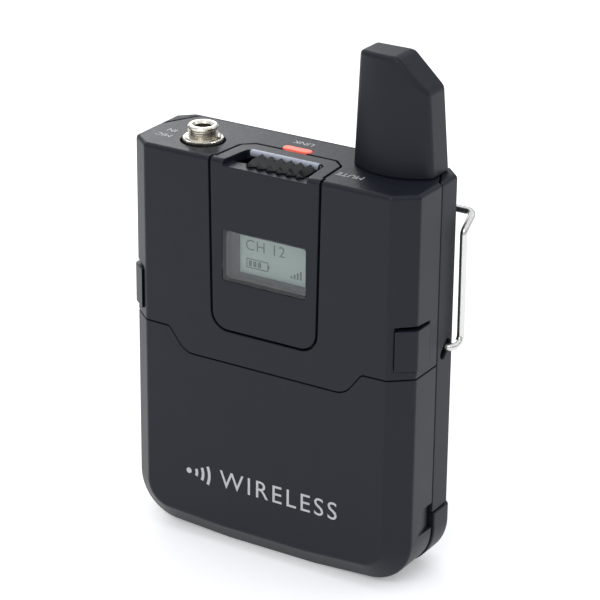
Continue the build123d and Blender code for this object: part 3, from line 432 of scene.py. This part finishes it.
# %% Lens, acrylic, display, ink and small inner finishes
lens_red = moulded("lens_red", (0.78, 0.075, 0.045), 0.28, 3000, 0.002, amount=0.5, specular=0.5,
                   dust_and_top_light=(0.95, 0.28, 0.18))
lens_red.node_tree.nodes["Principled BSDF"].inputs["Emission Color"].default_value = (1.0, 0.16, 0.09, 1)
lens_red.node_tree.nodes["Principled BSDF"].inputs["Emission Strength"].default_value = 0.32
acrylic = bpy.data.materials.new("acrylic")
acrylic.use_nodes = True
acrylic_shader = acrylic.node_tree.nodes["Principled BSDF"]
acrylic_shader.inputs["Base Color"].default_value = (0.96, 0.98, 0.98, 1)
acrylic_shader.inputs["Roughness"].default_value = 0.02
acrylic_shader.inputs["Transmission Weight"].default_value = 1.0
acrylic_shader.inputs["IOR"].default_value = 1.49
display_green = moulded("display_green", (0.36, 0.46, 0.41), 0.35, 7000, 0.0005, amount=0.5,
                        dust_and_top_light=(0.42, 0.53, 0.475), top_grain_and_light=0)
display_ink = moulded("display_ink", (0.10, 0.125, 0.115), 0.4, 7000, 0.0005, amount=0.3, top_grain_and_light=0)
print_ink = moulded("print_ink", (0.45, 0.46, 0.47), 0.5, 5000, 0.001, amount=0.3, top_grain_and_light=0,
                    dust_and_top_light=(0.36, 0.37, 0.38))
label_film = moulded("label_film", (0.36, 0.37, 0.38), 0.4, 1500, 0.002, amount=0.3, dust_and_top_light=(0.44, 0.44, 0.44))
board_green = moulded("board_green", (0.02, 0.12, 0.05), 0.4, 900, 0.01, amount=0.5, dust_and_top_light=(0.05, 0.2, 0.09))
led_white = moulded("led_white", (0.8, 0.78, 0.7), 0.4, 3000, 0.001)
print("materials in all:", len(bpy.data.materials))

# %% [markdown]
# ## Making and softening pieces
# CAD edges are perfectly sharp, and nothing moulded is. For each visible shell, a copy of the CAD
# mesh is welded into one closed skin, its flat faces are merged, and every sharp edge gets a tiny
# rounded bevel that catches the light. The copy then replaces the CAD node on the same body.

# %% Helpers that finish and soften a piece


def finish_piece(name, bm, body, material, sharp_deg=30.0, weld=True):
    """Turn a bmesh into a smooth-shaded piece that rides on a body."""
    if weld:
        bmesh.ops.remove_doubles(bm, verts=bm.verts, dist=1e-7)
        bmesh.ops.recalc_face_normals(bm, faces=bm.faces)
    mesh = bpy.data.meshes.new(name)
    bm.to_mesh(mesh)
    bm.free()
    mesh.polygons.foreach_set("use_smooth", [True] * len(mesh.polygons))
    mesh.set_sharp_from_angle(angle=math.radians(sharp_deg))
    mesh.materials.append(material)
    piece = bpy.data.objects.new(name, mesh)
    bpy.context.scene.collection.objects.link(piece)
    flat = piece.modifiers.new("even_shading", "WEIGHTED_NORMAL")
    flat.keep_sharp = True
    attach(piece, body)
    return piece


FACE_HALF, BEVEL_WIDE, BEVEL_DEEP = 27.6, 4.4, 3.6


def on_skin(point):
    """True for a point on the outside of the case, whose face is flat and has a bevel on either side."""
    aside = abs(point.x)
    inward = point.y - FRONT
    wide, deep = BEVEL_WIDE, BEVEL_DEEP
    over_bevel = ((aside - FACE_HALF * MM) * deep - inward * wide) / math.hypot(wide, deep)
    near = 0.3 * MM
    return inward < near or aside > SIDE - near or point.z > TOP - near or over_bevel > -near


SLIVER_AREA = 2e-9


def soften(node, body, material, width_mm, segments=2, sharp_deg=28.0, keep=None):
    """A welded copy of a CAD node with its sharp edges rounded. Edges of slivers are left out."""
    bm = bmesh.new()
    bm.from_mesh(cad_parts[node].data)
    bmesh.ops.remove_doubles(bm, verts=bm.verts, dist=2e-6)
    bmesh.ops.dissolve_limit(bm, angle_limit=math.radians(0.4), verts=bm.verts, edges=bm.edges)
    sharp = [e for e in bm.edges if len(e.link_faces) == 2 and e.calc_face_angle() > math.radians(sharp_deg)]
    sharp = [e for e in sharp if min(f.calc_area() for f in e.link_faces) > SLIVER_AREA]
    if keep is not None:
        sharp = [e for e in sharp if keep((e.verts[0].co + e.verts[1].co) / 2)]
    bmesh.ops.bevel(
        bm, geom=sharp, offset=width_mm * MM, offset_type="OFFSET", segments=segments, profile=0.5,
        affect="EDGES", clamp_overlap=False, loop_slide=False, material=-1,
    )
    piece = finish_piece(node + "_soft", bm, body, material, sharp_deg=35)
    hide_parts(node)
    print(node, "softened:", len(sharp), "edges,", len(piece.data.polygons), "faces")
    return piece


# %% [markdown]
# ## The shells
# The front shell, the display panel and the front of the battery pack meet in thin dark joints. A
# bevel of a tenth to a third of a millimetre gives each joint its fine bright line.

# %% Soften the shells and the latch buttons
soften("front_shell", "case", case_satin, 0.14, keep=on_skin)
soften("display_panel", "case", panel_satin, 0.14)
soften("battery_front", "battery_pack", case_satin, 0.14)
soften("rear_shell", "case", rear_satin, 0.2)
soften("battery_shoe", "battery_pack", rear_satin, 0.3)
for side in ("left", "right"):
    soften("latch_button_" + side, "latch_" + side, case_satin, 0.16)

# %% [markdown]
# ## The antenna
# The antenna is a moulded blade that narrows upwards, with a swollen front and one slanted corner.
# A cube is scaled to the blade, its top is tapered, and its front is cut into strips that are pushed
# forward. One cut makes the slant. A wide bevel then rounds every edge, which a CAD loft leaves sharp.

# %% Shape the antenna blade
blade_low, blade_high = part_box("antenna_blade")
BLADE_X = (blade_low.x + blade_high.x) / 2
BLADE_FOOT = TOP + 0.05 * MM
BLADE_HALF = (blade_high.x - blade_low.x) / 2
BLADE_DEEP = 6.8 * MM
TOP_SHARE = 7.3 / 8.65
LEAN_BACK, LEAN_FRONT = 1.1 * MM, 0.8 * MM
SWELL_FOOT, SWELL_TOP = 3.3 * MM, 1.0 * MM
SLANT_START = 1.35 * MM
SLANT_WIDE, SLANT_HIGH = 6.4, 6.2
blade = bmesh.new()
bmesh.ops.create_cube(blade, size=1.0)
tall = blade_high.z - BLADE_FOOT
bmesh.ops.scale(blade, verts=blade.verts, vec=(2 * BLADE_HALF, BLADE_DEEP, tall))
middle = Vector((BLADE_X, blade_high.y - BLADE_DEEP / 2, BLADE_FOOT + tall / 2))
bmesh.ops.translate(blade, verts=blade.verts, vec=middle)
for vert in blade.verts:
    if vert.co.z > middle.z:
        vert.co.x = BLADE_X + (vert.co.x - BLADE_X) * TOP_SHARE
        vert.co.y -= LEAN_BACK if vert.co.y > middle.y else LEAN_FRONT
front_edges = [
    e for e in blade.edges
    if all(v.co.y < middle.y for v in e.verts) and abs(e.verts[0].co.z - e.verts[1].co.z) < MM
]
bmesh.ops.subdivide_edges(blade, edges=front_edges, cuts=15, use_grid_fill=True)
for vert in blade.verts:
    if vert.co.y < middle.y - MM:
        up = (vert.co.z - BLADE_FOOT) / tall
        across = (vert.co.x - BLADE_X) / (BLADE_HALF * (1 - (1 - TOP_SHARE) * up))
        vert.co.y -= (SWELL_FOOT + (SWELL_TOP - SWELL_FOOT) * up) * (1 - across * across)
slant_from = Vector((BLADE_X + SLANT_START, 0, blade_high.z))
slant_normal = Vector((SLANT_HIGH, 0, SLANT_WIDE)).normalized()
cut = bmesh.ops.bisect_plane(
    blade, geom=blade.verts[:] + blade.edges[:] + blade.faces[:], plane_co=slant_from,
    plane_no=slant_normal, clear_outer=True,
)
bmesh.ops.edgeloop_fill(blade, edges=[g for g in cut["geom_cut"] if isinstance(g, bmesh.types.BMEdge)])


def at_foot(edge):
    """True for an edge of the blade's underside."""
    return all(v.co.z < BLADE_FOOT + 0.01 * MM for v in edge.verts)


wide_edges = [e for e in blade.edges if not at_foot(e) and e.calc_face_angle() > math.radians(20)]
bmesh.ops.bevel(
    blade, geom=wide_edges, offset=0.95 * MM, offset_type="OFFSET", segments=5, profile=0.5,
    affect="EDGES", clamp_overlap=False, material=-1,
)
foot_edges = [e for e in blade.edges if at_foot(e) and e.calc_face_angle() > math.radians(50)]
bmesh.ops.bevel(
    blade, geom=foot_edges, offset=0.3 * MM, offset_type="OFFSET", segments=3, profile=0.5,
    affect="EDGES", clamp_overlap=False, material=-1,
)
antenna = finish_piece("antenna", blade, "case", blade_satin, sharp_deg=50)
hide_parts("antenna_blade")
print("antenna:", len(antenna.data.polygons), "faces")

# %% [markdown]
# ## The jack
# The microphone jack is a turned, nickel-plated tube with a fine locking thread. A lathe makes it, so
# spin makes it here: one profile for the tube with its chamfered mouth. The thread is a second spin
# that climbs by one pitch for each turn, which gives a true helix. It is cut level at both ends and
# given a wall.

# %% Turn the tube and cut its thread
ROOT_R, CREST_R, BORE_R, PITCH = 2.72 * MM, 3.0 * MM, 1.8 * MM, 0.42 * MM


def lathe(profile, steps=72):
    """Spin a closed outline of (radius, height) points round the jack's axis."""
    bm = bmesh.new()
    ring = [bm.verts.new((JACK_X + r, JACK_Y, z)) for r, z in profile]
    edges = [bm.edges.new((ring[i], ring[(i + 1) % len(ring)])) for i in range(len(ring))]
    bmesh.ops.spin(
        bm, geom=ring + edges, cent=(JACK_X, JACK_Y, 0), axis=(0, 0, 1), angle=math.tau,
        steps=steps, use_merge=True,
    )
    return bm


TUBE_FOOT, CORE_R = TOP - 9 * MM, ROOT_R - 0.1 * MM
tube = lathe([
    (BORE_R, TUBE_FOOT),
    (BORE_R, JACK_TOP - 0.55 * MM),
    (BORE_R + 0.28 * MM, JACK_TOP - 0.12 * MM),
    (BORE_R + 0.42 * MM, JACK_TOP),
    (CREST_R - 0.38 * MM, JACK_TOP),
    (CREST_R - 0.1 * MM, JACK_TOP - 0.14 * MM),
    (CREST_R, JACK_TOP - 0.32 * MM),
    (CREST_R, JACK_TOP - 0.62 * MM),
    (CORE_R, JACK_TOP - 0.7 * MM),
    (CORE_R, TUBE_FOOT),
])
jack_tube = finish_piece("jack_tube", tube, "case", nickel, sharp_deg=25)
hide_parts("jack_barrel")

thread = bmesh.new()
THREAD_FOOT, THREAD_HEAD = TOP + 0.5 * MM, JACK_TOP - 0.66 * MM
TURNS = math.ceil((THREAD_HEAD - THREAD_FOOT) / PITCH) + 2
profile = [(ROOT_R, 0.0), (ROOT_R, 0.12), (CREST_R, 0.45), (CREST_R, 0.58), (ROOT_R, 0.93), (ROOT_R, 1.0)]
points = [
    thread.verts.new((JACK_X + r, JACK_Y, THREAD_FOOT + (share - 1) * PITCH)) for r, share in profile
]
strands = [thread.edges.new(pair) for pair in zip(points, points[1:])]
STEPS = 48
bmesh.ops.spin(
    thread, geom=points + strands, cent=(JACK_X, JACK_Y, 0), axis=(0, 0, 1),
    dvec=(0, 0, PITCH / STEPS), angle=math.tau * TURNS, steps=STEPS * TURNS,
)
bmesh.ops.remove_doubles(thread, verts=thread.verts, dist=2e-6)
for height, normal in ((THREAD_FOOT, (0, 0, -1)), (THREAD_HEAD, (0, 0, 1))):
    bmesh.ops.bisect_plane(
        thread, geom=thread.verts[:] + thread.edges[:] + thread.faces[:], dist=1e-7,
        plane_co=(0, 0, height), plane_no=normal, clear_outer=True,
    )
bmesh.ops.recalc_face_normals(thread, faces=thread.faces)
outermost = max(thread.faces, key=lambda f: f.calc_center_median().x)
if outermost.normal.x < 0:
    bmesh.ops.reverse_faces(thread, faces=thread.faces)
bmesh.ops.solidify(thread, geom=thread.faces[:], thickness=0.12 * MM)
jack_thread = finish_piece("jack_thread", thread, "case", nickel, sharp_deg=40, weld=False)
print("thread:", TURNS, "turns,", len(jack_thread.data.polygons), "faces")

# %% [markdown]
# ## The jack's nut
# A round nut with a knurled rim holds the jack in the case. Two circles with twice as many points as
# teeth are joined into a ring, and every other outer point is drawn in. Extruding that ring upwards
# gives the knurl, and a smaller collar with two spanner slots sits on top.

# %% Knurl the nut
TEETH = 44


def ring_piece(inner, outer, low, high, count, notch=1.0, rim=0.08):
    """A ring with count points round it. Every other outer point is pulled in by the notch factor."""
    bm = bmesh.new()
    bmesh.ops.create_circle(bm, cap_ends=False, radius=inner, segments=count)
    edge = bmesh.ops.create_circle(bm, cap_ends=False, radius=outer, segments=count)["verts"]
    for vert in edge[::2]:
        vert.co *= notch
    flat = bmesh.ops.bridge_loops(bm, edges=bm.edges[:])["faces"]
    up = bmesh.ops.extrude_face_region(bm, geom=flat)["geom"]
    top_verts = [g for g in up if isinstance(g, bmesh.types.BMVert)]
    bmesh.ops.translate(bm, verts=top_verts, vec=(0, 0, high - low))
    bmesh.ops.translate(bm, verts=bm.verts, vec=(JACK_X, JACK_Y, low))
    rims = [
        e for e in bm.edges
        if all(v.co.z > high - 1e-7 for v in e.verts)
        and all((v.co.xy - Vector((JACK_X, JACK_Y))).length > (inner + outer) / 2 for v in e.verts)
    ]
    bmesh.ops.bevel(bm, geom=rims, offset=rim * MM, offset_type="OFFSET", segments=2, profile=0.5,
                    affect="EDGES", clamp_overlap=True, material=-1)
    return bm


rim_ring = ring_piece(2.9 * MM, 4.1 * MM, nut_low.z, TOP + 0.7 * MM, TEETH * 2, notch=0.94, rim=0.16)
nut = finish_piece("jack_nut_knurled", rim_ring, "case", nickel, sharp_deg=20)
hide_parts("jack_nut")
collar = ring_piece(2.95 * MM, 3.62 * MM, TOP + 0.6 * MM, nut_high.z, 72)
SLOT_HALF = 0.55 * MM
for offset in (-SLOT_HALF, SLOT_HALF):
    bmesh.ops.bisect_plane(
        collar, geom=collar.verts[:] + collar.edges[:] + collar.faces[:],
        plane_co=(0, JACK_Y + offset, 0), plane_no=(0, 1, 0), dist=1e-7,
    )
gap = [f for f in collar.faces if abs(f.calc_center_median().y - JACK_Y) < 0.98 * SLOT_HALF]
bmesh.ops.delete(collar, geom=gap, context="FACES")
bmesh.ops.holes_fill(collar, edges=collar.edges, sides=8)
finish_piece("jack_nut_collar", collar, "case", nickel, sharp_deg=25)
print("nut:", TEETH, "teeth")

# %% [markdown]
# ## The mute slider
# The slider is a glossy black thumb piece with six sharp ribs that run back, and round down to the
# front like claws over a shallow shelf. A fine grid is folded into a zigzag whose height falls to the
# front edge, and its border is drawn down to a flat bottom. A block below it fills the recess. Behind
# the slider lies a rounded strip, which is a bar with every edge bevelled. Its pale grey colour is a
# painted highlight, the bright reflection that runs along it.

# %% Fold the ribbed slider and round the strip behind it
slider_low, slider_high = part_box("mute_slider")
RIBS = 6
FOOT_Z = TOP - 0.95 * MM
CREST = 1.15 * MM
SHELF_BACK_MM = 3.75
slider = bmesh.new()
bmesh.ops.create_grid(slider, x_segments=RIBS * 8, y_segments=20, size=0.5)
reach = slider_high.x - slider_low.x
rear_y, front_y = behind(6.6), behind(1.35)
for vert in slider.verts:
    along, back = vert.co.x + 0.5, vert.co.y + 0.5
    ridge = 1 - abs(2 * ((along * RIBS) % 1.0) - 1) if 0.001 < along < 0.999 else 0.0
    drop = max(0.0, 1 - back / 0.4)
    crest = CREST * math.sqrt(1 - drop * drop * 0.9)
    vert.co.x = slider_low.x + along * reach
    vert.co.y = front_y + back * (rear_y - front_y) + (1 - ridge) * drop ** 2 * 0.9 * MM
    vert.co.z = FOOT_Z + crest * (0.06 + 0.94 * ridge)
skirt = bmesh.ops.extrude_edge_only(slider, edges=[e for e in slider.edges if e.is_boundary])["geom"]
for vert in (g for g in skirt if isinstance(g, bmesh.types.BMVert)):
    vert.co.z = FOOT_Z
bmesh.ops.edgeloop_fill(slider, edges=[e for e in slider.edges if e.is_boundary])
low_block = bmesh.ops.create_cube(slider, size=1.0)["verts"]
block_low = TOP - 2.5 * MM
block_deep = rear_y - behind(SHELF_BACK_MM)
bmesh.ops.scale(slider, verts=low_block, vec=(reach, block_deep, FOOT_Z - block_low))
bmesh.ops.translate(slider, verts=low_block, vec=(
    (slider_low.x + slider_high.x) / 2, (rear_y + behind(SHELF_BACK_MM)) / 2, (FOOT_Z + block_low) / 2,
))
slider_ribs = finish_piece("slider_ribs", slider, "mute_control", slider_black, sharp_deg=40)
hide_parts("mute_slider")

strip = bmesh.new()
strip_verts = bmesh.ops.create_cube(strip, size=1.0)["verts"]
bmesh.ops.scale(strip, verts=strip_verts, vec=(15.9 * MM, 1.4 * MM, 1.4 * MM))
bmesh.ops.translate(strip, verts=strip_verts, vec=(0, behind(7.65), TOP - 0.45 * MM))
bmesh.ops.bevel(
    strip, geom=strip.edges[:], offset=0.58 * MM, offset_type="OFFSET", segments=5, profile=0.5,
    affect="EDGES", clamp_overlap=True, material=-1,
)
# the strip's pale grey is a painted highlight
finish_piece("slider_strip", strip, "case", painted_highlight_grey, sharp_deg=50)
print("slider:", RIBS, "ribs,", len(slider_ribs.data.polygons), "faces")

# %% [markdown]
# ## Prints
# The words printed on a real pack belong to its maker, so plain stand-ins are printed here: what the
# jack and the slider do, and a general word with a radio-wave sign on the battery pack. Each is a text
# curve made into a mesh and laid a few thousandths of a millimetre proud. The labels on top are turned to
# be read by the wearer, who looks down from behind.

# %% A helper for ink, and the printed words
INK_MM = 0.012
PRINT_BELOW = 68.1


CAPITAL_SHARE = 0.7


def ink_text(name, words, height_mm, place, body, material=print_ink, spacing=1.0):
    """Words as a thin raised mesh. place puts the text's own plane, which faces +Z, on the object."""
    curve = bpy.data.curves.new(name, "FONT")
    curve.body = words
    curve.size = height_mm * MM / CAPITAL_SHARE
    curve.space_character = spacing
    curve.align_x, curve.align_y = "CENTER", "CENTER"
    curve.extrude = INK_MM * MM / 2
    curve.resolution_u = 4
    draft = bpy.data.objects.new(name + "_draft", curve)
    bpy.context.scene.collection.objects.link(draft)
    bpy.context.view_layer.update()
    mesh = bpy.data.meshes.new_from_object(draft)
    bpy.data.objects.remove(draft)
    mesh.transform(place)
    bm = bmesh.new()
    bm.from_mesh(mesh)
    return finish_piece(name, bm, body, material, sharp_deg=30)


def lie_on_top(x_mm, depth_mm):
    """A place on the top face, turned to be read from behind."""
    return Matrix.Translation((x_mm * MM, behind(depth_mm), TOP)) @ Matrix.Rotation(math.pi, 4, "Z")


def stand_on_front(x_mm, z, depth_mm=0.0):
    """A place on a face that looks to the front."""
    return Matrix.Translation((x_mm * MM, behind(depth_mm), z)) @ Matrix.Rotation(math.pi / 2, 4, "X")


ink_text("label_input_1", "MIC", 1.5, lie_on_top(-27.1, 6.2), "case")
ink_text("label_input_2", "IN", 1.5, lie_on_top(-27.1, 9.2), "case")
ink_text("label_status", "LINK", 1.5, lie_on_top(-1.3, 16.6), "case")
ink_text("label_mute", "MUTE", 1.6, lie_on_top(15.6, 5.7), "case")
ink_text("print_word", "WIRELESS", 3.8, stand_on_front(3.6, TOP - PRINT_BELOW * MM), "battery_pack",
         spacing=1.22)

# %% [markdown]
# A dot and three arcs stand for radio waves. Each arc is a short stroke spun round the dot, and the
# flat sign is then extruded to the thickness of the ink.

# %% The radio-wave sign beside the word
SIGN_X, SIGN_Z = -17.6 * MM, TOP - PRINT_BELOW * MM
WAVE_HALF_ANGLE = math.radians(24)
sign = bmesh.new()
for radius in (1.9, 3.4, 4.9):
    stroke = [
        sign.verts.new((SIGN_X + r * MM, FRONT, SIGN_Z)) for r in (radius - 0.32, radius + 0.32)
    ]
    bar = sign.edges.new(stroke)
    bmesh.ops.rotate(sign, verts=stroke, cent=(SIGN_X, 0, SIGN_Z),
                     matrix=Matrix.Rotation(WAVE_HALF_ANGLE, 3, "Y"))
    bmesh.ops.spin(sign, geom=stroke + [bar], cent=(SIGN_X, 0, SIGN_Z), axis=(0, 1, 0),
                   angle=-2 * WAVE_HALF_ANGLE, steps=10)
dot = bmesh.ops.create_circle(sign, cap_ends=True, radius=0.62 * MM, segments=20)["verts"]
bmesh.ops.rotate(sign, verts=dot, cent=(0, 0, 0), matrix=Matrix.Rotation(math.pi / 2, 3, "X"))
bmesh.ops.translate(sign, verts=dot, vec=(SIGN_X, FRONT, SIGN_Z))
raised = bmesh.ops.extrude_face_region(sign, geom=sign.faces[:])["geom"]
bmesh.ops.translate(sign, verts=[g for g in raised if isinstance(g, bmesh.types.BMVert)],
                    vec=(0, -INK_MM / 2 * MM, 0))
finish_piece("print_sign", sign, "battery_pack", print_ink)

# %% [markdown]
# ## What the display shows
# A liquid crystal display draws with dark segments inside its glass, here thin raised shapes on it.
# It shows a channel, a battery level and the strength of the link, as any such pack would.

# %% Draw the display's segments
LCD_Z = (display_low.z + display_high.z) / 2
LCD_DEPTH = (display_low.y - FRONT) / MM
ink_text("segment_channel", "CH 12", 2.2, stand_on_front(-1.6, LCD_Z + 1.8 * MM, LCD_DEPTH), "case",
         material=display_ink, spacing=1.1)


def segment(name, boxes):
    """Flat bars on the display, each given as middle x, middle z, width and height in mm."""
    bm = bmesh.new()
    for x, z, wide, high in boxes:
        bar = bmesh.ops.create_cube(bm, size=1.0)["verts"]
        bmesh.ops.scale(bm, verts=bar, vec=(wide * MM, INK_MM * MM, high * MM))
        bmesh.ops.translate(bm, verts=bar, vec=(x * MM, display_low.y, LCD_Z + z * MM))
    return finish_piece(name, bm, "case", display_ink)


frame_bars = [(-3.4, -0.95, 5.0, 0.22), (-3.4, -2.75, 5.0, 0.22), (-5.79, -1.85, 0.22, 2.02),
              (-1.01, -1.85, 0.22, 2.02), (-0.75, -1.85, 0.3, 0.8)]
segment("segment_battery", frame_bars + [(-5.0 + i * 1.05, -1.85, 0.75, 1.2) for i in range(3)])
segment("segment_link", [(4.4 + i * 0.7, -2.7 + i * 0.22, 0.42, 0.5 + i * 0.44) for i in range(4)])
print("display drawn at", round(LCD_DEPTH, 2), "mm behind the face")

# %% [markdown]
# ## Finishes for the nodes that keep their CAD shape
# The wire clip, the screws and everything inside are right as they are, so each only gets its
# material. A CAD node's own material slot is simply filled with the new one. The last four nodes in
# the list are hidden by their detailed pieces, and still get the same finish as those.

# %% Give the CAD nodes their finish
NODE_FINISH = {
    "belt_clip_arm_left": clip_wire, "belt_clip_arm_right": clip_wire, "belt_clip_tongue": clip_wire,
    "case_screws": screw_zinc, "type_label": label_film, "light_lens": lens_red,
    "display_window": acrylic, "display_bezel": bezel_grey, "display_glass": display_green,
    "display_holder": inner_black, "display_backlight": guide_white, "status_light": led_white,
    "switch_board": board_green, "main_board": board_green, "battery_board": board_green,
    "mute_switch": tin_plate, "radio_shield": tin_plate, "switch_lever": inner_black,
    "jack_body": inner_black, "jack_contacts": gold_plate, "connector_blades": gold_plate,
    "battery_pads": gold_plate, "antenna_contact": gold_plate, "battery_connector": inner_black,
    "inner_frame": inner_black, "cell_case": inner_black, "cell_case_lid": inner_black,
    "battery_cell": cell_foil, "antenna_radiator": brass_strip, "latch_spring_left": spring_steel,
    "latch_spring_right": spring_steel, "jack_barrel": nickel, "jack_nut": nickel,
    "antenna_blade": blade_satin, "mute_slider": slider_black,
}
for node, finish in NODE_FINISH.items():
    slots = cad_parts[node].data.materials
    for index in range(len(slots)):
        slots[index] = finish
    if not slots:
        slots.append(finish)
print("finishes set on", len(NODE_FINISH), "CAD nodes")
